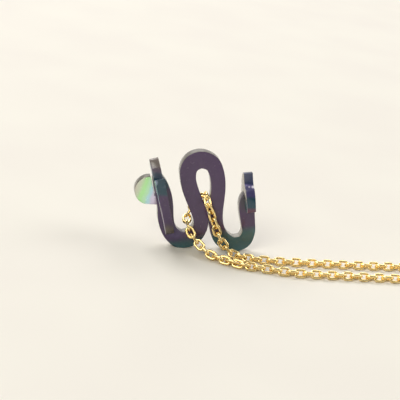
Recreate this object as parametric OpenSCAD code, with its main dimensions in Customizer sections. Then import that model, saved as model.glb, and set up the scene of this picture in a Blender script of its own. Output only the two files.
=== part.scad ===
// Snake pendant: four plates cut from one sheet and slotted together, standing on its two feet,
// with a cable chain threaded through the eye of its hairpin and laid out as a whole necklace.
// X runs to the right along the big plate, Y runs to its back and Z up. The origin is the middle
// of the flat under the left foot.

/* [Sheet] */
// Thickness of the plastic sheet that all four plates are cut from
sheet = 3; // [2.6:0.1:3]
// Play between a plate and each wall of its slot
slot_play = 0.1; // [0.05:0.01:0.15]

/* [Snake plate] */
// Width of the snake's line where its table says 1
snake_w = 5.2; // [5:0.1:5.3]

/* [Head plate] */
// Lean of the head plate towards the left, in degrees
head_lean = 18.5; // [18:0.1:19]
// Distance that the head's nose stands out in front of the snake plate
head_nose = 8; // [6:0.5:9]
// Distance along the lean from the floor line to the bottom of the cross-lap
head_lap = 17.5; // [16.5:0.1:18.5]

/* [Tail plate] */
// Lean of the tail plate towards the left, in degrees
tail_lean = 11.3; // [11:0.1:11.6]
// Distance along the lean from the floor line to the bottom of the cross-lap
tail_lap = 19.6; // [19:0.1:20]

/* [Disc] */
// Diameter of the disc behind the left limb
disc_d = 9.8; // [9.6:0.1:9.9]
// Width of the loose notch that the head plate stands in
disc_notch_w = 3.7; // [3.3:0.1:3.8]

/* [Chain] */
// Width of the chain, whose links stand at 45 degrees each way
chain_d = 2.4; // [2.2:0.1:2.5]

/* [Clasp] */
// Width of the clasp at its middle
clasp_w = 4.6; // [4:0.1:5]

/* [Hidden] */

front = -sheet / 2;
back = sheet / 2;
slot_w = sheet + 2 * slot_play;
far = 40;

// The snake's middle line from its head end to its tail end. Columns: x, z, share of snake_w.
SNAKE = [
    [-11.4, 25.6, 0.30], [-10.8, 23.9, 0.68], [-9.4, 21.2, 0.93], [-8.0, 17.7, 1.02], [-7.0, 14.0, 1.00],
    [-6.4, 10.4, 1.00], [-5.4, 7.4, 0.97], [-3.6, 4.7, 1.00], [-0.4, 2.8, 1.11], [3.4, 4.0, 1.08],
    [5.4, 7.1, 0.96], [5.4, 10.7, 0.95], [3.8, 14.4, 0.99], [2.0, 17.7, 1.00], [0.3, 21.1, 1.00],
    [-0.9, 24.6, 0.98], [-1.2, 27.9, 1.08], [0.1, 30.4, 1.16], [2.8, 31.5, 1.12], [6.1, 30.5, 1.03],
    [7.9, 28.0, 0.95], [9.0, 24.9, 0.93], [9.6, 21.6, 0.91], [9.8, 18.2, 0.91], [9.9, 14.8, 0.92],
    [10.3, 11.4, 0.92], [11.3, 8.0, 0.94], [13.4, 4.5, 1.05], [17.2, 2.5, 1.03], [21.0, 3.8, 0.97],
    [22.2, 7.2, 0.86], [21.5, 10.8, 0.91], [20.6, 14.2, 0.98], [20.0, 17.4, 1.00], [20.1, 19.4, 0.89],
    [20.6, 21.0, 0.65], [21.2, 22.3, 0.30]
];
// Row of the table at the top of the hairpin, where the plate's two halves are joined
SNAKE_TOP = 18;
SNAKE_STEPS = 6;

// Where the left face of each leaning plate would meet the floor line
head_x = -4.3;
tail_x = 22.7;

// Outline of the head plate. Columns: distance in front of the snake plate as a share of head_nose,
// distance behind its front face, or y; then the height along the lean.
HEAD_NOSE_RIM = [[0, 4.5], [0.28, 6.8], [0.56, 11], [0.75, 15.5], [0.88, 20], [0.97, 24.5], [1, 27.6]];
HEAD_CREST = [[-0.1, 24.5], [-0.1, 27.6], [0.9, 29.2], [2.4, 30.6], [3.6, 30.6], [4.8, 29.2]];
HEAD_BACK = [[6.2, 26.4], [7.0, 22.5], [7.2, 18.0], [6.7, 14.6], [5.6, 12.6]];

// Outline of the tail plate. Columns: distance in front of the snake plate, or behind it; then the
// height along the lean.
TAIL_FRONT = [[3.4, 15.9], [3.8, 16.6], [3.8, 19.4], [3.4, 21.6], [2.7, 23.4], [1.6, 24.2], [0.8, 25.2],
              [0.4, 27.2], [0.3, 28.7]];
TAIL_BACK = [[-1.9, 28.6], [-0.4, 27.7], [0.6, 26.4], [1.5, 24.6], [2.3, 21.8], [2.8, 19.6], [2.7, 17.0],
             [2.0, 15.9]];

// Middle of the disc and the height of the flat on its underside
disc_at = [-12.45, 18.3];
disc_flat_z = 13.55;

// The chain's middle line from the clasp, along the front strand, up behind the left leg, through the
// eye, down along the rear strand and back to the clasp. It lies on the floor where z is lay.
lay = chain_d / 2;
FRONT_STRAND = [
    [71, -17.6, lay], [62, -17.8, lay], [52, -18, lay], [42, -18.2, lay], [34, -18, lay],
    [26, -16.4, lay], [19, -14.8, lay], [13.6, -12.2, lay]
];
EYE_TURN = [
    [10.2, -10, 1.3], [7.6, -8.2, 2], [5.6, -6.4, 3.2], [3.8, -4.8, 4.7], [2.2, -3.6, 6.4], [1.4, -2.1, 8],
    [1.1, -0.6, 8.9], [1.1, 0.9, 9.6], [1.3, 2.4, 10.6], [2.3, 3.1, 12.2], [3.4, 3.1, 14], [4.4, 3.1, 15.8],
    [5.2, 3.1, 17], [5.8, 2.6, 17.9], [6.05, 1.4, 18.55], [6.05, -0.1, 18.65], [6.1, -1.6, 18.4],
    [6.3, -2.75, 17.4], [6.9, -3.05, 16.1], [8, -3.1, 14.2], [9.5, -3.4, 10.7], [11.2, -4.2, 7.1],
    [12.8, -5.2, 4.6], [14.6, -6.3, 2.8], [16.6, -7.3, 1.6]
];
REAR_STRAND = [
    [19, -8.3, lay], [24, -9.6, lay], [32, -10, lay], [42, -9.8, lay], [52, -9.4, lay], [62, -8.9, lay],
    [71, -8.4, lay]
];
// Half of the open loop, mirrored about loop_y. Columns: x, distance from loop_y.
LOOP = [
    [81, 6], [89, 13], [96.5, 23], [106, 33], [118, 40], [133, 42.5], [148, 39], [160, 30],
    [167, 18], [169, 6]
];
loop_y = -13;
FRONT_LOOP = [for (i = [len(LOOP) - 1:-1:0]) [LOOP[i][0], loop_y - LOOP[i][1], lay]];
REAR_LOOP = [for (p = LOOP) [p[0], loop_y + p[1], lay]];
CHAIN = concat(FRONT_LOOP, FRONT_STRAND, EYE_TURN, REAR_STRAND, REAR_LOOP);
CHAIN_SIDES = 8;
clasp_play = 0.2;
// Right edge of the clasp. Columns: share of half its width, share of half its length.
CLASP_EDGE = [[0.4, -1], [0.42, -0.8], [0.8, -0.5], [1, -0.1], [0.9, 0.35], [0.48, 0.72], [0.4, 1]];
// Rows of CHAIN at which each tube starts
eye_turn_at = len(FRONT_LOOP) + len(FRONT_STRAND);
rear_strand_at = eye_turn_at + len(EYE_TURN);
rear_loop_at = rear_strand_at + len(REAR_STRAND);

purple = [0.30, 0.22, 0.33];
pale_green = [0.75, 0.87, 0.68];
gold = [0.86, 0.66, 0.32];

// A point on the smooth curve through a table's rows. u is the row number, with its fraction.
function held(table, i) = table[max(0, min(len(table) - 1, i))];
function blend(a, b, c, d, t) =
    0.5 * (2 * b + (c - a) * t + (2 * a - 5 * b + 4 * c - d) * t * t + (3 * b - a - 3 * c + d) * t * t * t);
function along(table, u) =
    let (i = floor(u), rows = [for (k = [-1:2]) held(table, i + k)])
    blend(rows[0], rows[1], rows[2], rows[3], u - i);
function heading(table, u, dims) =
    let (d = along(table, min(len(table) - 1, u + 0.05)) - along(table, max(0, u - 0.05)),
         flat = [for (k = [0:dims - 1]) d[k]])
    flat / norm(flat);
function curve(table, steps) = [for (k = [0:steps * (len(table) - 1)]) along(table, k / steps)];

// One edge of the snake's line: side is 1 on its left and -1 on its right, going from head to tail
function snake_edge(u, side) =
    let (c = along(SNAKE, u), t = heading(SNAKE, u, 2), reach = side * c[2] * snake_w / 2)
    [c[0] - t[1] * reach, c[1] + t[0] * reach];

module snake_half(first, last) {
    rows = [for (k = [first * SNAKE_STEPS:last * SNAKE_STEPS]) k / SNAKE_STEPS];
    polygon(concat([for (u = rows) snake_edge(u, 1)],
                   [for (k = [len(rows) - 1:-1:0]) snake_edge(rows[k], -1)]));
}

// A slot cut down from above along a leaning plate, in the snake plate's own outline
module leaning_slot(x, lean, lap, width, left_play) {
    translate([x, 0]) rotate(lean) translate([-left_play, lap]) square([width, far]);
}

// A plate that crosses the snake plate, from its outline in depth and height along the lean
module cross_plate(x, lean) {
    translate([x, 0, 0]) rotate([0, -lean, 0]) rotate([90, 0, 90]) linear_extrude(sheet) children();
}

// A slot cut up from below in a cross plate, from one depth to another
module lap_slot(from_y, to_y, lap) {
    translate([from_y, lap - far]) square([to_y - from_y, far]);
}

module serpent_body() {
    color(purple) rotate([90, 0, 0]) linear_extrude(sheet, center = true) difference() {
        union() {
            snake_half(0, SNAKE_TOP);
            snake_half(SNAKE_TOP, len(SNAKE) - 1);
        }
        leaning_slot(head_x, head_lean, head_lap, slot_w, slot_play);
        leaning_slot(tail_x, tail_lean, tail_lap, slot_w, slot_play);
        translate([-far, -far]) square([3 * far, far]);
    }
}

module head_plate() {
    color(purple) cross_plate(head_x, head_lean) difference() {
        polygon(concat(
            [for (p = curve(HEAD_NOSE_RIM, 3)) [front - slot_play - p[0] * head_nose, p[1]]],
            [for (p = curve(HEAD_CREST, 4)) [front + p[0], p[1]]],
            [for (p = curve(HEAD_BACK, 4)) p]));
        lap_slot(front - slot_play, back + sheet + 3 * slot_play, head_lap + slot_play);
    }
}

module tail_plate() {
    color(purple) cross_plate(tail_x, tail_lean) difference() {
        polygon(concat(
            [for (p = curve(TAIL_FRONT, 4)) [front - p[0], p[1]]],
            [for (p = curve(TAIL_BACK, 4)) [back + p[0], p[1]]]));
        lap_slot(front - slot_play, back + slot_play, tail_lap + slot_play);
    }
}

// The disc's flat underside runs straight on to its right, behind the limb
module head_disc() {
    color(pale_green) translate([0, back + slot_play, 0]) rotate([90, 0, 0]) translate([0, 0, -sheet])
        linear_extrude(sheet) difference() {
            union() {
                translate(disc_at) circle(d = disc_d, $fn = 96);
                translate([disc_at[0], disc_flat_z]) square([disc_d / 2, disc_at[1] - disc_flat_z]);
            }
            leaning_slot(head_x, head_lean, head_lap, far, disc_notch_w - sheet - slot_play);
            translate([-far, disc_flat_z - far]) square([2 * far, far]);
        }
}

// A chain's tube swept along the rows of CHAIN from one row to another. Its rings are turned so that
// a corner points along reference, which is a direction that the tube never runs in.
function chain_ring(row, reference) =
    let (t = heading(CHAIN, row, 3), side = cross(t, reference),
         across = side / norm(side), over = cross(across, t))
    [for (k = [0:CHAIN_SIDES - 1]) let (a = 360 * k / CHAIN_SIDES)
        CHAIN[row] + lay * (cos(a) * across + sin(a) * over)];

module chain_tube(first, last, reference = [0, 0, 1]) {
    rings = [for (row = [first:last]) chain_ring(row, reference)];
    n = CHAIN_SIDES;
    sides = [for (i = [0:len(rings) - 2], k = [0:n - 1])
        let (a = i * n + k, b = i * n + (k + 1) % n) each [[a, b, b + n], [a, b + n, a + n]]];
    caps = [[for (k = [n - 1:-1:0]) k], [for (k = [0:n - 1]) (len(rings) - 1) * n + k]];
    color(gold) polyhedron([for (r = rings, p = r) p], concat(sides, caps), convexity = 8);
}

module chain_front_loop() chain_tube(0, len(FRONT_LOOP));
module chain_front_strand() chain_tube(len(FRONT_LOOP), eye_turn_at - 1);
module chain_eye_turn() chain_tube(eye_turn_at - 1, rear_strand_at, reference = [1, 0.5, -0.5]);
module chain_rear_strand() chain_tube(rear_strand_at, rear_loop_at);
module chain_rear_loop() chain_tube(rear_loop_at, len(CHAIN) - 1);

// The clasp lies flat between the two ends of the chain and is one with their end rings
module clasp() {
    ends = [CHAIN[0], CHAIN[len(CHAIN) - 1]];
    half = norm(ends[1] - ends[0]) / 2 - clasp_play;
    right_edge = [for (p = curve(CLASP_EDGE, 4)) [p[0] * clasp_w / 2, p[1] * half]];
    left_edge = [for (i = [len(right_edge) - 1:-1:0]) [-right_edge[i][0], right_edge[i][1]]];
    color(gold) translate((ends[0] + ends[1]) / 2 - [0, 0, lay]) linear_extrude(chain_d)
        polygon(concat(right_edge, left_edge));
}

serpent_body();
head_plate();
tail_plate();
head_disc();
chain_eye_turn();
chain_front_strand();
chain_rear_strand();
chain_front_loop();
chain_rear_loop();
clasp();
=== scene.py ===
"""The looks of the snake pendant and its chain: camera, plates, links, clasp, floor and light.

Lengths are millimetres in the part's own frame unless a comment says metres, and MM turns them into
metres. Angles are degrees.
"""

import math
import random

import bmesh
import bpy
from mathutils import Matrix, Vector


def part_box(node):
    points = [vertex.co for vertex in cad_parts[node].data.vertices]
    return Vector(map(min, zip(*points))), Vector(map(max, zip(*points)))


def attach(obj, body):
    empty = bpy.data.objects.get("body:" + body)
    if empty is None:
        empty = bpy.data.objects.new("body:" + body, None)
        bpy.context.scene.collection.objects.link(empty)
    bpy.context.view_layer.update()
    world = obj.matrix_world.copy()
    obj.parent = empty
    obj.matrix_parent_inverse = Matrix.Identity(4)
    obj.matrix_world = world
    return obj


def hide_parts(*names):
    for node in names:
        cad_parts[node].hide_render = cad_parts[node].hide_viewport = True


MM = 0.001
UP = Vector((0, 0, 1))
ALONG_Y = Vector((0, 1, 0))

# Camera. AIM falls on AIM_PIXEL of a picture that is PICTURE pixels wide.
AIM = Vector((0, -1.5, 0))
AIM_PIXEL = (180.5, 247.8)
PICTURE = 400
AZIMUTH = -12.5
ELEVATION = 21.2
ROLL = 9.0
DISTANCE = 350
FOCAL_PIXELS = 1050
SENSOR = 36

# Plates. The head and tail plates lean to the left.
HEAD_LEAN = 18.5
TAIL_LEAN = 11.3
SHARP_ANGLE = 35
EDGE_SEGMENTS = 3
# Width of the soft edges. Columns: round the plate's left face, all others.
EDGES = {
    "serpent_body": (0.12, 0.12), "head_plate": (0.34, 0.06), "tail_plate": (0.16, 0.1),
    "head_disc": (0.1, 0.1),
}
# Points of a CAD mesh that are closer than this, in metres, are one point.
WELD = 1e-7
# Neighbouring faces of a CAD mesh that turn by less than this, in radians, are one flat face.
FLAT_TURN = 0.002

# The chain's middle line from the clasp, along the front strand, up behind the left leg, through the
# eye, down along the rear strand and back to the clasp. It lies on the floor where z is LAY. The loop's
# rows hold x and the distance to either side of LOOP_Y.
LAY = 1.33
LOOP_Y = -13
LOOP = [
    (81, 6), (89, 13), (96.5, 23), (106, 33), (118, 40), (133, 42.4), (148, 39), (160, 30), (167, 18),
    (169, 6),
]
FRONT_STRAND = [
    (71, -17.6, LAY), (62, -17.8, LAY), (52, -18, LAY), (42, -18.2, LAY), (34, -18, LAY),
    (26, -16.4, LAY), (19, -14.8, LAY), (13.6, -12.2, LAY),
]
EYE_TURN = [
    (10.2, -10, 1.37), (7.6, -8.2, 2), (5.6, -6.4, 3.2), (3.8, -4.8, 4.7), (2.2, -3.6, 6.4),
    (1.4, -2.1, 8), (1.1, -0.6, 8.9), (1.1, 0.9, 9.6), (1.3, 2.5, 10.6), (2.3, 3.2, 12.2),
    (3.4, 3.25, 14), (4.4, 3.25, 15.8), (5.2, 3.25, 17), (5.8, 2.85, 17.95), (6.05, 1.5, 18.6),
    (6.05, -0.15, 18.72), (6.1, -1.9, 18.55), (6.3, -3.12, 17.6), (6.9, -3.25, 16.15), (8, -3.2, 14.2),
    (9.5, -3.45, 10.7), (11.2, -4.2, 7.1), (12.8, -5.2, 4.6), (14.6, -6.3, 2.8), (16.6, -7.3, 1.6),
]
REAR_STRAND = [
    (19, -8.3, LAY), (24, -9.6, LAY), (32, -10, LAY), (42, -9.8, LAY), (52, -9.4, LAY), (62, -8.9, LAY),
    (71, -8.4, LAY),
]
ROUTE_STEPS = 24

# Links. WOBBLE is how far a link may be turned out of true.
LINK_LENGTH = 4.5
LINK_WIDTH = 3.15
WIRE = 0.9
WIRE_SIDES = 10
LINK_BEND_STEPS = 12
LINK_STRAIGHT_STEPS = 2
WOBBLE = 3.0
WOBBLE_SEED = 5
# Columns: distance along the route, number of the link whose middle is there.
LINK_PINS = [
    (0.6, 0), (145.0, 52), (183.3, 66), (192.1, 70), (197.2, 72), (202.5, 74), (207.5, 76), (229.9, 84),
    (235.5, 86), (238.2, 87), (240.8, 88), (245.8, 90), (250.9, 92), (255.7, 94), (261.1, 96),
    (294.4, 108), (437.3, 160),
]

# Clasp
CLASP_HALF_WIDTH = 2.3
CLASP_HALF_THICK = 1.15
CLASP_BODY_END = 4.2
CLASP_STEPS = 160
CLASP_SIDES = 32
# The power that the drop's width falls to its ends with: 0.5 is an ellipse and 1 a pointed lens.
CLASP_ROUNDNESS = 0.75
# The power that the drop's thickness follows its width with
CLASP_FLATNESS = 0.8
# How much fuller the drop is towards its rear end
CLASP_SKEW = 0.1
GROOVE_AT = -0.4
GROOVE_WIDTH = 0.6
GROOVE_DEPTH = 0.12
RING_RADIUS = 0.8
RING_WIRE = 0.5
RING_STEPS = 28

# Colours of the sheet plastic, and of highlights and light painted on it, from 0 to 255
PURPLE = (82, 60, 99)
EDGE_PURPLE = (77, 57, 96)
DEEP_PURPLE = (76, 72, 118)
# Lighter blue-purple of painted light that lifts the shade over the left foot
PAINTED_LIGHT_PURPLE = (92, 79, 122)
RED_PURPLE = (98, 60, 86)
GREY_PURPLE = (116, 104, 122)
# Lighter violet, partly the plastic's tint and partly a painted highlight on the tail plate's shoulder
PAINTED_HIGHLIGHT_VIOLET = (112, 104, 166)
NAVY = (60, 68, 104)
PALE_NAVY = (70, 76, 109)
FACE_BLUE = (66, 104, 134)
NOSE_BLUE = (88, 102, 122)
TEAL = (62, 102, 111)
EDGE_TEAL = (34, 72, 90)
NECK_TEAL = (92, 102, 118)
OLIVE = (98, 89, 82)
GREY_OLIVE = (76, 70, 84)
TAUPE = (120, 110, 105)
CUT_GREY = (114, 109, 103)
LOW_CUT_GREY = (152, 148, 140)
# Pale grey of a painted sheen on the tail plate's left face, where it catches light at a grazing angle
PAINTED_SHEEN_GREY = (164, 158, 150)
# White of painted glints where the tail plate's shoulder catches the light
PAINTED_GLINT = (238, 232, 250)
# Pale blue of a painted highlight on the head plate's nose
PAINTED_NOSE_HIGHLIGHT = (140, 158, 184)
# Lilac white of a painted highlight along the left soft edges of the cross plates
PAINTED_EDGE_HIGHLIGHT = (190, 176, 200)

# Tints of the plates' faces and of their cut edges. Columns: distance along the plate's tint direction,
# colour.
BODY_TINT_DIRECTION = (-0.28, 0, 1)
BODY_FACES = [(-8, TEAL), (1.0, TEAL), (4.4, PURPLE), (36, PURPLE)]
BODY_CUTS = [(-8, LOW_CUT_GREY), (5, LOW_CUT_GREY), (14, CUT_GREY), (36, CUT_GREY)]
HEAD_FACES = [(6, TEAL), (12, PURPLE), (16, PURPLE), (20, FACE_BLUE), (25, FACE_BLUE), (31, PURPLE)]
HEAD_CUTS = [
    (2, OLIVE), (6.8, OLIVE), (11, EDGE_PURPLE), (20.5, EDGE_PURPLE), (22, EDGE_TEAL), (23.6, EDGE_TEAL),
    (24.4, NOSE_BLUE), (25.6, NECK_TEAL), (26.8, GREY_PURPLE), (28.6, TAUPE), (31, TAUPE),
]
# The pale grey rows on the tail plate's left face are a painted sheen
TAIL_FACES = [(14, TEAL), (18, TEAL), (21, PAINTED_SHEEN_GREY), (27, PAINTED_SHEEN_GREY), (30, CUT_GREY)]
# The violet row at 24.2 is partly the plastic's tint and partly a painted highlight on the upward-facing
# shoulder
TAIL_CUTS = [
    (15.4, RED_PURPLE), (17, RED_PURPLE), (18.2, EDGE_TEAL), (20.8, EDGE_TEAL), (22, DEEP_PURPLE),
    (23.6, DEEP_PURPLE), (24.2, PAINTED_HIGHLIGHT_VIOLET), (24.8, NAVY), (26.5, PALE_NAVY), (29, PALE_NAVY),
]
# Small patches where a plate's colour differs, some of them painted highlights and painted light. Columns:
# centre, inner and outer reach, colour.
BODY_PATCHES = [
    ((-9.2, -1.5, 22.6), 2.2, 3.2, EDGE_TEAL), ((20.0, -1.5, 19.0), 2.0, 5.0, GREY_OLIVE),
    # Painted light: a lighter blue-purple patch that lifts the shade over the left foot
    ((-2.4, -1.5, 5.4), 1.4, 3.7, PAINTED_LIGHT_PURPLE),
]
# The second patch is a painted highlight on the nose's left top edge
HEAD_PATCHES = [((-11.4, -9.5, 26), 1.9, 2.8, EDGE_TEAL), ((-13.2, -9.6, 25.4), 0.7, 1.4, PAINTED_NOSE_HIGHLIGHT)]
# Painted glints: white specks on the tail plate's upward-facing shoulder
TAIL_PATCHES = [((20.6, -3.1, 24.3), 0.3, 0.7, PAINTED_GLINT), ((19.3, -3.1, 24.3), 0.15, 0.5, PAINTED_GLINT)]
# How far the tints wander from their rows
BODY_WANDER = 2.0
PLATE_WANDER = 1.2
# How square to its sheet a surface is where a cut edge's colour ends and where a face's begins: 1 is square
CUT_ENDS = 0.7
FACE_BEGINS = 0.95
# Painted highlight along the soft edges round the left faces of the cross plates: its share, heights that
# it ends at, how gradually it ends, how far the soft edge turns from the sheet, and how near to that the
# painted highlight is full and none
EDGE_HIGHLIGHT_SHARE = 0.85
HEAD_HIGHLIGHT_TOP = 16
TAIL_HIGHLIGHT_TOP = 20
HIGHLIGHT_FADE = 1
SOFT_EDGE_TURN = -0.6
FULL_HIGHLIGHT = 0.1
NO_HIGHLIGHT = 0.35
# How much the pattern of fine hairlines is squeezed along x, y and z, and its share of the relief
HAIRLINE_SQUEEZE = (9, 9, 0.6)
HAIRLINE_SHARE = 0.25

# Colours of the disc. Columns: distance along the bands' direction, colour.
PEARL_DIRECTION = (1, 0, -0.22)
PEARL_BANDS = [
    (-21.6, (218, 210, 200)), (-20.2, (216, 226, 204)), (-18.6, (194, 255, 180)), (-17.1, (204, 252, 212)),
    (-16.0, (196, 240, 255)), (-14.6, (232, 226, 255)), (-12.5, (238, 224, 255)),
]
PEARL_CUT = (104, 100, 90)
PEARL_WANDER = 1.6

# Colours of the gold and of the floor. Columns: value of a noise, colour.
GOLD_TONES = [(0.25, (248, 214, 140)), (0.5, (254, 227, 160)), (0.75, (255, 237, 180))]
FLOOR_TONES = [(0.2, (243, 239, 233)), (0.8, (246, 243, 236))]
# Depth of the finest relief, in metres
MICRO_RELIEF = 0.02 * MM
# Half of the floor's side, in metres
FLOOR_HALF = 6

# The Mix node's two colours and its result
MIX_A = 6
MIX_B = 7
MIX_RESULT = 2

# Square lights that face the origin. Columns: name, place in metres, power in watts, colour.
LIGHT_SIDE = 1.0
WARM = (1.0, 0.975, 0.93)
LIGHTS = [
    ("back_left", (-0.83, 0.99, 1.53), 20.7, (1.0, 0.975, 0.95)),
    ("back_right", (0.83, 0.99, 1.53), 7.7, WARM),
    ("back_low", (0, 1.73, 1.0), 2.4, WARM),
    ("right", (1.63, -0.14, 1.15), 9.9, WARM),
    ("front_left", (-0.96, -1.14, 1.34), 14.3, (1.0, 0.985, 0.86)),
]
# Strength of the light from all round, and of what shiny surfaces reflect of it
WORLD_LIGHT = 0.17
WORLD_REFLECTION = 0.7
# The surroundings from their darkest side to their brightest. Columns: share of the way, colour.
BRIGHT_SIDE = (0, 0.8, 0.6)
WORLD_SHADES = [(0.3, (0.2, 0.195, 0.185)), (0.78, WARM)]


def camera_axes():
    """Right, up and back of the camera, with the roll that turns the picture's content clockwise."""
    a, e, r = (math.radians(angle) for angle in (AZIMUTH, ELEVATION, ROLL))
    back = Vector((math.sin(a) * math.cos(e), -math.cos(a) * math.cos(e), math.sin(e)))
    level = Vector((math.cos(a), math.sin(a), 0))
    rise = back.cross(level)
    right = math.cos(r) * level + math.sin(r) * rise
    up = -math.sin(r) * level + math.cos(r) * rise
    return right, up, back


# How the links are turned along the chain: every second link as a row says, and its neighbours square to
# it. Columns: distance along the route, direction that the link faces, roll about the chain.
TO_CAMERA = camera_axes()[2]
LINK_TURNS = [
    (0, UP, -45), (128, UP, -45), (140, UP, -48), (196, UP, -48), (205, TO_CAMERA, 0), (220, TO_CAMERA, 0),
    (226, -UP, 0), (229.9, -TO_CAMERA, -36), (232.8, -TO_CAMERA, -38), (238.2, -TO_CAMERA, -38),
    (241, -TO_CAMERA, -10), (246, -TO_CAMERA, 0), (252, -UP, 48), (310, -UP, 48), (325, -UP, 45),
    (460, -UP, 45),
]


def add_camera():
    """The camera at the photograph's viewing angle, placed so that AIM falls on AIM_PIXEL."""
    right, up, back = camera_axes()
    across = (AIM_PIXEL[0] - PICTURE / 2) / FOCAL_PIXELS * DISTANCE
    down = (AIM_PIXEL[1] - PICTURE / 2) / FOCAL_PIXELS * DISTANCE
    eye = (AIM + back * DISTANCE - right * across + up * down) * MM
    data = bpy.data.cameras.new("camera")
    data.sensor_width = SENSOR
    data.lens = SENSOR * FOCAL_PIXELS / PICTURE
    data.clip_start = 0.01
    data.clip_end = 50
    camera = bpy.data.objects.new("camera", data)
    turn = Matrix((right, up, back)).transposed().to_4x4()
    camera.matrix_world = Matrix.Translation(eye) @ turn
    bpy.context.scene.collection.objects.link(camera)
    bpy.context.scene.camera = camera


def linear(colour):
    """A colour of 0 to 255 as the eye sees it, as the shader's linear colour."""
    steps = [c / 255 for c in colour]
    return [s / 12.92 if s <= 0.04045 else ((s + 0.055) / 1.055) ** 2.4 for s in steps] + [1.0]


class Surface:
    """A material and short calls that add nodes to it."""

    def __init__(self, name):
        self.material = bpy.data.materials.new(name)
        self.material.use_nodes = True
        self.tree = self.material.node_tree
        self.shader = self.tree.nodes["Principled BSDF"]

    def add(self, kind, inputs=None, **settings):
        node = self.tree.nodes.new("ShaderNode" + kind)
        for key, value in settings.items():
            setattr(node, key, value)
        for key, value in (inputs or {}).items():
            self.put(node.inputs[key], value)
        return node

    def put(self, socket, value):
        if isinstance(value, bpy.types.NodeSocket):
            self.tree.links.new(value, socket)
        else:
            socket.default_value = value

    def shade(self, **inputs):
        """Sets the shader's own sockets. An underscore in a name stands for a space."""
        for key, value in inputs.items():
            self.put(self.shader.inputs[key.replace("_", " ")], value)

    def scaled(self, vector, factor):
        return self.add("VectorMath", {0: vector, "Scale": factor}, operation="SCALE").outputs[0]

    def place(self):
        """The point on the surface, in millimetres of the part's frame."""
        return self.scaled(self.add("TexCoord").outputs["Object"], 1 / MM)

    def noise(self, point, scale, detail=2.0, roughness=0.5):
        inputs = {"Vector": point, "Scale": scale, "Detail": detail, "Roughness": roughness}
        return self.add("TexNoise", inputs).outputs["Fac"]

    def math(self, operation, a, b=0.0):
        return self.add("Math", {0: a, 1: b}, operation=operation).outputs[0]

    def along(self, point, direction):
        """How far a point lies in a direction, in millimetres."""
        return self.add("VectorMath", {0: point, 1: direction}, operation="DOT_PRODUCT").outputs["Value"]

    def wandering(self, point, direction, scale, detail, reach):
        """How far a point lies in a direction, give or take half of a reach."""
        drift = self.math("SUBTRACT", self.noise(point, scale, detail), 0.5)
        return self.math("ADD", self.along(point, direction), self.math("MULTIPLY", drift, reach))

    def spread(self, value, low, high):
        """A value from 0 to 1 spread between two numbers."""
        return self.add("MapRange", {"Value": value, "To Min": low, "To Max": high}).outputs["Result"]

    def fall(self, value, near, far, top=1.0):
        """The top value where a value is at the near number or below, and 0 at the far one or beyond."""
        inputs = {"Value": value, "From Min": near, "From Max": far, "To Min": top, "To Max": 0.0}
        return self.add("MapRange", inputs).outputs["Result"]

    def ramp(self, value, stops):
        """Colours by a value. Columns of stops: value, colour."""
        low, high = stops[0][0], stops[-1][0]
        share = self.add("MapRange", {"Value": value, "From Min": low, "From Max": high}).outputs["Result"]
        node = self.add("ValToRGB", {"Fac": share})
        node.color_ramp.interpolation = "EASE"
        elements = node.color_ramp.elements
        elements[0].color = linear(stops[0][1])
        elements[1].color = linear(stops[-1][1])
        for at, colour in stops[1:-1]:
            elements.new((at - low) / (high - low)).color = linear(colour)
        return node.outputs["Color"]

    def on_face(self, sheet_normal):
        """1 on the faces of a sheet and 0 on its cut edges."""
        normal = self.add("TexCoord").outputs["Normal"]
        facing = self.math("ABSOLUTE", self.along(normal, sheet_normal))
        inputs = {"Value": facing, "From Min": CUT_ENDS, "From Max": FACE_BEGINS}
        return self.add("MapRange", inputs).outputs["Result"]

    def on_left_edge(self, sheet_normal, height, top):
        """The share of a painted highlight on the soft edges round a sheet's left face, below a height, and
        0 elsewhere.
        """
        normal = self.add("TexCoord").outputs["Normal"]
        turn = self.math("SUBTRACT", self.along(normal, sheet_normal), SOFT_EDGE_TURN)
        edge = self.fall(self.math("ABSOLUTE", turn), FULL_HIGHLIGHT, NO_HIGHLIGHT, EDGE_HIGHLIGHT_SHARE)
        return self.math("MULTIPLY", edge, self.fall(height, top - HIGHLIGHT_FADE, top + HIGHLIGHT_FADE))

    def near(self, point, centre, inner, outer):
        """1 within the inner distance of a point and 0 beyond the outer one."""
        away = self.add("VectorMath", {0: point, 1: centre}, operation="DISTANCE").outputs["Value"]
        return self.fall(away, inner, outer)

    def mix(self, share, a, b):
        """Colour a where share is 0 and colour b where it is 1."""
        node = self.add("Mix", {"Factor": share}, data_type="RGBA")
        self.put(node.inputs[MIX_A], a)
        self.put(node.inputs[MIX_B], b)
        return node.outputs[MIX_RESULT]

    def bump(self, height, strength):
        inputs = {"Height": height, "Strength": strength, "Distance": MICRO_RELIEF}
        return self.add("Bump", inputs).outputs["Normal"]


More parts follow.
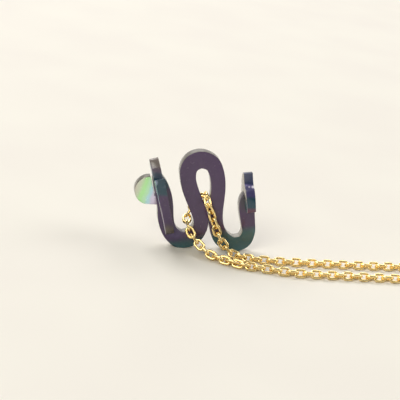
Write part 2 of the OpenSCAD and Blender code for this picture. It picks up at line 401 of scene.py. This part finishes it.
def sheet_plastic(name, sheet_normal, direction, faces, cuts, patches, wander, highlight_top=None):
    """Glossy dark sheet. The colours of its faces and of its cut edges shift along a direction."""
    surface = Surface(name)
    point = surface.place()
    at = surface.wandering(point, direction, scale=0.18, detail=1.0, reach=wander)
    tint = surface.mix(surface.on_face(sheet_normal), surface.ramp(at, cuts), surface.ramp(at, faces))
    # Patches of colour, among them painted glints, a painted highlight and painted light
    for centre, inner, outer, patch in patches:
        tint = surface.mix(surface.near(point, centre, inner, outer), tint, linear(patch))
    # Painted highlight along the soft edges round the left face
    if highlight_top is not None:
        tint = surface.mix(surface.on_left_edge(sheet_normal, at, highlight_top), tint, linear(PAINTED_EDGE_HIGHLIGHT))
    cloud = surface.noise(point, scale=0.45, detail=4.0, roughness=0.6)
    smudge = surface.noise(point, scale=0.9, detail=5.0, roughness=0.65)
    drawn = surface.add("VectorMath", {0: point, 1: HAIRLINE_SQUEEZE}, operation="MULTIPLY").outputs[0]
    hairlines = surface.math("MULTIPLY", surface.noise(drawn, scale=1.0), HAIRLINE_SHARE)
    orange_peel = surface.noise(point, scale=2.2)
    surface.shade(
        Base_Color=surface.scaled(tint, surface.spread(cloud, low=0.86, high=1.14)),
        Roughness=surface.spread(smudge, low=0.17, high=0.33),
        IOR=1.49,
        Coat_Weight=0.35,
        Coat_Roughness=0.06,
        Coat_IOR=1.5,
        Normal=surface.bump(surface.math("ADD", hairlines, orange_peel), strength=0.02),
    )
    return surface.material


def pearl_plastic():
    """Pale sheet whose pearly shine goes from beige through green and pale blue to lilac."""
    surface = Surface("pearl_sheet")
    point = surface.place()
    at = surface.wandering(point, PEARL_DIRECTION, scale=0.3, detail=2.0, reach=PEARL_WANDER)
    bands = surface.ramp(at, PEARL_BANDS)
    tint = surface.mix(surface.on_face(ALONG_Y), linear(PEARL_CUT), bands)
    cloud = surface.noise(point, scale=1.4, detail=5.0, roughness=0.65)
    surface.shade(
        Base_Color=surface.scaled(tint, surface.spread(cloud, low=0.93, high=1.07)),
        Roughness=surface.spread(cloud, low=0.18, high=0.32),
        Metallic=0.6,
        IOR=1.49,
        Coat_Weight=0.4,
        Coat_Roughness=0.05,
        Normal=surface.bump(cloud, strength=0.1),
    )
    return surface.material


def chain_gold():
    """Bright gold plating with fine polishing marks and a tone that varies a little."""
    surface = Surface("chain_gold_plating")
    point = surface.place()
    marks = surface.noise(point, scale=7.0, detail=4.0, roughness=0.6)
    surface.shade(
        Base_Color=surface.ramp(surface.noise(point, scale=0.8, detail=3.0), GOLD_TONES),
        Metallic=1.0,
        Roughness=surface.spread(marks, low=0.08, high=0.2),
        Normal=surface.bump(marks, strength=0.15),
    )
    return surface.material


def floor_paper():
    """Plain pale paper with a faint tooth."""
    surface = Surface("floor_paper")
    point = surface.place()
    surface.shade(
        Base_Color=surface.ramp(surface.noise(point, scale=0.02, detail=1.0), FLOOR_TONES),
        Roughness=0.8,
        Specular_IOR_Level=0.25,
        Normal=surface.bump(surface.noise(point, scale=3.0, detail=4.0), strength=0.05),
    )
    return surface.material


def new_object(name, mesh, material):
    """A shown piece with one material, smooth shaded."""
    mesh.materials.clear()
    mesh.materials.append(material)
    mesh.shade_smooth()
    piece = bpy.data.objects.new(name, mesh)
    bpy.context.scene.collection.objects.link(piece)
    return piece


def object_from(bm, name, material):
    """A shown piece from a finished mesh under construction."""
    mesh = bpy.data.meshes.new(name)
    bm.to_mesh(mesh)
    bm.free()
    return new_object(name, mesh, material)


def stand_for(piece, node):
    """Makes a piece ride with the part and stand for a CAD node, which is hidden."""
    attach(piece, "root")
    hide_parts(node)


def leaning(degrees):
    """The direction square to a plate that leans to the left."""
    angle = math.radians(degrees)
    return Vector((math.cos(angle), 0, math.sin(angle)))


def weigh_edges(bm, node, sheet_normal):
    """Gives each sharp edge of a plate its share of the widest soft edge."""
    left_width, other_width = EDGES[node]
    widest = max(EDGES[node])
    layer = bm.edges.layers.float.new("bevel_weight_edge")
    reach = [v.co.dot(sheet_normal) for v in bm.verts]
    middle = (min(reach) + max(reach)) / 2
    for edge in bm.edges:
        if edge.calc_face_angle(0) < math.radians(SHARP_ANGLE):
            continue
        on_left = all(v.co.dot(sheet_normal) < middle for v in edge.verts)
        edge[layer] = (left_width if on_left else other_width) / widest


def dress_plate(node, material, sheet_normal):
    """A copy of a plate with whole flat faces and softly rounded cut edges, which stands for the node."""
    bm = bmesh.new()
    bm.from_mesh(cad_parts[node].data)
    bmesh.ops.remove_doubles(bm, verts=bm.verts, dist=WELD)
    bmesh.ops.dissolve_limit(bm, angle_limit=FLAT_TURN, verts=bm.verts, edges=bm.edges)
    weigh_edges(bm, node, sheet_normal)
    plate = object_from(bm, node + "_polished", material)
    edge = plate.modifiers.new("edge", "BEVEL")
    edge.width = max(EDGES[node]) * MM
    edge.segments = EDGE_SEGMENTS
    edge.limit_method = "WEIGHT"
    edge.harden_normals = True
    edge.use_clamp_overlap = True
    stand_for(plate, node)


def chain_rows():
    """The rows of the chain's middle line and, for each CAD node, the rows where it starts and ends."""
    front_loop = [(x, LOOP_Y - d, LAY) for x, d in reversed(LOOP)]
    rear_loop = [(x, LOOP_Y + d, LAY) for x, d in LOOP]
    rows = front_loop + FRONT_STRAND + EYE_TURN + REAR_STRAND + rear_loop
    eye_turn = len(front_loop) + len(FRONT_STRAND)
    rear_strand = eye_turn + len(EYE_TURN)
    rear_loop_at = rear_strand + len(REAR_STRAND)
    spans = {
        "chain_front_loop": (0, len(front_loop)),
        "chain_front_strand": (len(front_loop), eye_turn - 1),
        "chain_eye_turn": (eye_turn - 1, rear_strand),
        "chain_rear_strand": (rear_strand, rear_loop_at),
        "chain_rear_loop": (rear_loop_at, len(rows) - 1),
    }
    return [Vector(row) for row in rows], spans


class Route:
    """The smooth curve through a table's rows, walked by distance."""

    def __init__(self, rows):
        self.rows = rows
        count = (len(rows) - 1) * ROUTE_STEPS
        self.points = [self.smooth(k / ROUTE_STEPS) for k in range(count + 1)]
        self.walked = [0.0]
        for a, b in zip(self.points, self.points[1:]):
            self.walked.append(self.walked[-1] + (b - a).length)
        self.length = self.walked[-1]

    def smooth(self, u):
        """The point at a row number and a share of the way to the next row."""
        i = min(int(u), len(self.rows) - 2)
        t = u - i
        a, b, c, d = (self.rows[max(0, min(len(self.rows) - 1, i + k))] for k in (-1, 0, 1, 2))
        curved = (2 * a - 5 * b + 4 * c - d) * t * t + (3 * b - a - 3 * c + d) * t ** 3
        return 0.5 * (2 * b + (c - a) * t + curved)

    def at_row(self, row):
        """Distance from the start to a row of the table."""
        return self.walked[row * ROUTE_STEPS]

    def at(self, distance):
        """The point at a distance. Past either end, the route runs straight on."""
        k = 0
        while k < len(self.walked) - 2 and self.walked[k + 1] < distance:
            k += 1
        share = (distance - self.walked[k]) / (self.walked[k + 1] - self.walked[k])
        return self.points[k].lerp(self.points[k + 1], share)


def between(table, value):
    """The second column of a table at a value of its first, on straight lines between its rows."""
    for (x0, y0), (x1, y1) in zip(table, table[1:]):
        if value <= x1:
            break
    return y0 + (y1 - y0) * (value - x0) / (x1 - x0)


def square_to(vector, axis):
    """The part of a vector that is square to an axis, at length 1."""
    return (vector - axis * vector.dot(axis)).normalized()


def turned(vector, axis, degrees):
    return Matrix.Rotation(math.radians(degrees), 3, axis) @ vector


def wanted_facing(distance, ahead):
    """The direction that a link should face, from the rows of LINK_TURNS on its two sides."""
    for first, second in zip(LINK_TURNS, LINK_TURNS[1:]):
        if distance <= second[0]:
            break
    share = (distance - first[0]) / (second[0] - first[0])
    a, b = (turned(square_to(row[1], ahead), ahead, row[2]) for row in (first, second))
    return square_to(a.lerp(b, share), ahead)


def link_places(route):
    """Distance, middle, heading and facing of each link. Neighbours stand about square to each other."""
    draw = random.Random(WOBBLE_SEED)
    pins = [(number, distance) for distance, number in LINK_PINS]
    places = []
    facing = None
    for number in range(pins[-1][0] + 1):
        distance = between(pins, number)
        before, after = (between(pins, number + side) for side in (-0.5, 0.5))
        start, end = route.at(before), route.at(after)
        ahead = (end - start).normalized()
        wanted = wanted_facing(distance, ahead)
        square = ahead.cross(wanted)
        if facing is not None:
            wanted = min((wanted, square), key=lambda option: abs(option.dot(facing)))
        facing = turned(wanted, ahead, draw.uniform(-WOBBLE, WOBBLE))
        places.append((distance, (start + end) / 2, ahead, facing))
    return places


def add_ring(bm, centre, first, second, sides):
    """A ring of points round a centre. Its two half axes are vectors in millimetres."""
    ring = []
    for k in range(sides):
        angle = 2 * math.pi * k / sides
        ring.append(bm.verts.new((centre + first * math.cos(angle) + second * math.sin(angle)) * MM))
    return ring


def add_skin(bm, rings, closed):
    """Faces from each ring of points to the next and, if closed, from the last to the first."""
    ends = rings[1:] + rings[:1] if closed else rings[1:]
    for ring, following in zip(rings, ends):
        for k in range(len(ring)):
            j = (k + 1) % len(ring)
            bm.faces.new((ring[k], following[k], following[j], ring[j]))


def link_outline():
    """The middle line of one link's wire in its own plane, as points and outward directions."""
    bend = (LINK_WIDTH - WIRE) / 2
    straight = (LINK_LENGTH - WIRE) / 2 - bend
    points = []
    for side in (1, -1):
        for k in range(LINK_BEND_STEPS):
            angle = math.pi * (k / LINK_BEND_STEPS - 0.5)
            out = Vector((side * math.cos(angle), side * math.sin(angle)))
            points.append((Vector((side * straight, 0)) + out * bend, out))
        for k in range(LINK_STRAIGHT_STEPS):
            share = k / LINK_STRAIGHT_STEPS
            out = Vector((0, side))
            points.append((Vector((side * straight * (1 - 2 * share), side * bend)), out))
    return points


def add_link(bm, middle, ahead, facing):
    """One closed oval link swept along its outline."""
    across = facing.cross(ahead)
    rings = []
    for point, out in link_outline():
        centre = middle + ahead * point.x + across * point.y
        outward = ahead * out.x + across * out.y
        rings.append(add_ring(bm, centre, outward * WIRE / 2, facing * WIRE / 2, WIRE_SIDES))
    add_skin(bm, rings, closed=True)


def add_chain(gold):
    """The links of each stretch of the chain as one mesh, which stands for that stretch's tube."""
    rows, spans = chain_rows()
    route = Route(rows)
    places = link_places(route)
    for node, (first, last) in spans.items():
        start = route.at_row(first) if first else -route.length
        end = route.at_row(last) if last < len(rows) - 1 else 2 * route.length
        bm = bmesh.new()
        for distance, middle, ahead, facing in places:
            if start <= distance < end:
                add_link(bm, middle, ahead, facing)
        bmesh.ops.recalc_face_normals(bm, faces=bm.faces)
        stand_for(object_from(bm, node + "_links", gold), node)


def add_end_ring(bm, middle):
    """A round ring that stands upright along the clasp."""
    normal = ALONG_Y.cross(UP)
    rings = []
    for i in range(RING_STEPS):
        turn = 2 * math.pi * i / RING_STEPS
        out = ALONG_Y * math.cos(turn) + UP * math.sin(turn)
        centre = middle + out * RING_RADIUS
        rings.append(add_ring(bm, centre, out * RING_WIRE / 2, normal * RING_WIRE / 2, WIRE_SIDES))
    add_skin(bm, rings, closed=True)


def clasp_share(y):
    """Half width of the clasp's body at a distance from its middle, as a share of the widest."""
    along = y / CLASP_BODY_END
    share = (1 - along * along) ** CLASP_ROUNDNESS * (1 + CLASP_SKEW * along)
    from_groove = abs(y - GROOVE_AT) / (GROOVE_WIDTH / 2)
    if from_groove < 1:
        share -= GROOVE_DEPTH * (1 + math.cos(math.pi * from_groove)) / 2
    return share


def add_clasp(gold):
    """The clasp as a smooth drop with a ring at each end and a fine groove round its middle."""
    low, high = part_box("clasp")
    middle = (low + high) / 2 / MM
    bm = bmesh.new()
    rings = []
    for i in range(CLASP_STEPS + 1):
        y = -CLASP_BODY_END * math.cos(math.pi * (i + 0.5) / (CLASP_STEPS + 1))
        share = clasp_share(y)
        wide = Vector((CLASP_HALF_WIDTH * share, 0, 0))
        thick = Vector((0, 0, CLASP_HALF_THICK * share ** CLASP_FLATNESS))
        rings.append(add_ring(bm, middle + Vector((0, y, 0)), wide, thick, CLASP_SIDES))
    add_skin(bm, rings, closed=False)
    bm.faces.new(rings[0])
    bm.faces.new(rings[-1])
    ring_at = (high.y - low.y) / 2 / MM - RING_RADIUS - RING_WIRE / 2
    for side in (-1, 1):
        add_end_ring(bm, middle + ALONG_Y * side * ring_at)
    bmesh.ops.recalc_face_normals(bm, faces=bm.faces)
    stand_for(object_from(bm, "clasp_polished", gold), "clasp")


def add_floor():
    """A pale floor, wide enough to fill every view."""
    half = FLOOR_HALF
    mesh = bpy.data.meshes.new("floor")
    corners = [(-half, -half, 0), (half, -half, 0), (half, half, 0), (-half, half, 0)]
    mesh.from_pydata(corners, [], [(0, 1, 2, 3)])
    new_object("floor", mesh, floor_paper())


def add_light(name, place, power, colour):
    """A soft square light that faces the origin."""
    data = bpy.data.lights.new(name, "AREA")
    data.shape = "SQUARE"
    data.size = LIGHT_SIDE
    data.energy = power
    data.color = colour
    light = bpy.data.objects.new(name, data)
    light.location = place
    light.rotation_mode = "QUATERNION"
    light.rotation_quaternion = (-Vector(place)).to_track_quat("-Z", "Y")
    bpy.context.scene.collection.objects.link(light)


def add_world():
    """Soft light from all round, darker from the front."""
    world = bpy.data.worlds.new("studio")
    world.use_nodes = True
    nodes = world.node_tree.nodes
    link = world.node_tree.links.new
    background = nodes["Background"]
    coordinate = nodes.new("ShaderNodeTexCoord")
    bright = nodes.new("ShaderNodeVectorMath")
    bright.operation = "DOT_PRODUCT"
    bright.inputs[1].default_value = BRIGHT_SIDE
    share = nodes.new("ShaderNodeMapRange")
    share.inputs["From Min"].default_value = -1
    ramp = nodes.new("ShaderNodeValToRGB")
    for element, (at, colour) in zip(ramp.color_ramp.elements, WORLD_SHADES):
        element.color = (*colour, 1)
        element.position = at
    seen = nodes.new("ShaderNodeLightPath")
    strength = nodes.new("ShaderNodeMapRange")
    strength.inputs["To Min"].default_value = WORLD_LIGHT
    strength.inputs["To Max"].default_value = WORLD_REFLECTION
    link(coordinate.outputs["Generated"], bright.inputs[0])
    link(bright.outputs["Value"], share.inputs["Value"])
    link(share.outputs["Result"], ramp.inputs["Fac"])
    link(ramp.outputs["Color"], background.inputs["Color"])
    link(seen.outputs["Is Glossy Ray"], strength.inputs["Value"])
    link(strength.outputs["Result"], background.inputs["Strength"])
    bpy.context.scene.world = world


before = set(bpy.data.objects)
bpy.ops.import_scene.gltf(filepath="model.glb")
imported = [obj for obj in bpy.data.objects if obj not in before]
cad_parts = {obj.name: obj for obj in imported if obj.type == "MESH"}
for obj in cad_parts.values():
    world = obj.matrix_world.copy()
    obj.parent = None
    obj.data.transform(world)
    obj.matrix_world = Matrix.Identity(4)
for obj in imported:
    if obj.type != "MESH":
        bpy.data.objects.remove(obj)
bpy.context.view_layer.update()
add_camera()

head_across = leaning(HEAD_LEAN)
tail_across = leaning(TAIL_LEAN)
body_sheet = sheet_plastic(
    "body_sheet", ALONG_Y, BODY_TINT_DIRECTION, BODY_FACES, BODY_CUTS, BODY_PATCHES, BODY_WANDER,
)
head_sheet = sheet_plastic(
    "head_sheet", head_across, UP, HEAD_FACES, HEAD_CUTS, HEAD_PATCHES, PLATE_WANDER, HEAD_HIGHLIGHT_TOP,
)
tail_sheet = sheet_plastic(
    "tail_sheet", tail_across, UP, TAIL_FACES, TAIL_CUTS, TAIL_PATCHES, PLATE_WANDER, TAIL_HIGHLIGHT_TOP,
)
dress_plate("serpent_body", body_sheet, ALONG_Y)
dress_plate("head_plate", head_sheet, head_across)
dress_plate("tail_plate", tail_sheet, tail_across)
dress_plate("head_disc", pearl_plastic(), ALONG_Y)
gold = chain_gold()
add_chain(gold)
add_clasp(gold)

add_floor()
add_world()
for light in LIGHTS:
    add_light(*light)
view = bpy.context.scene.view_settings
view.view_transform = "Standard"
view.look = "None"
view.exposure = 0.0
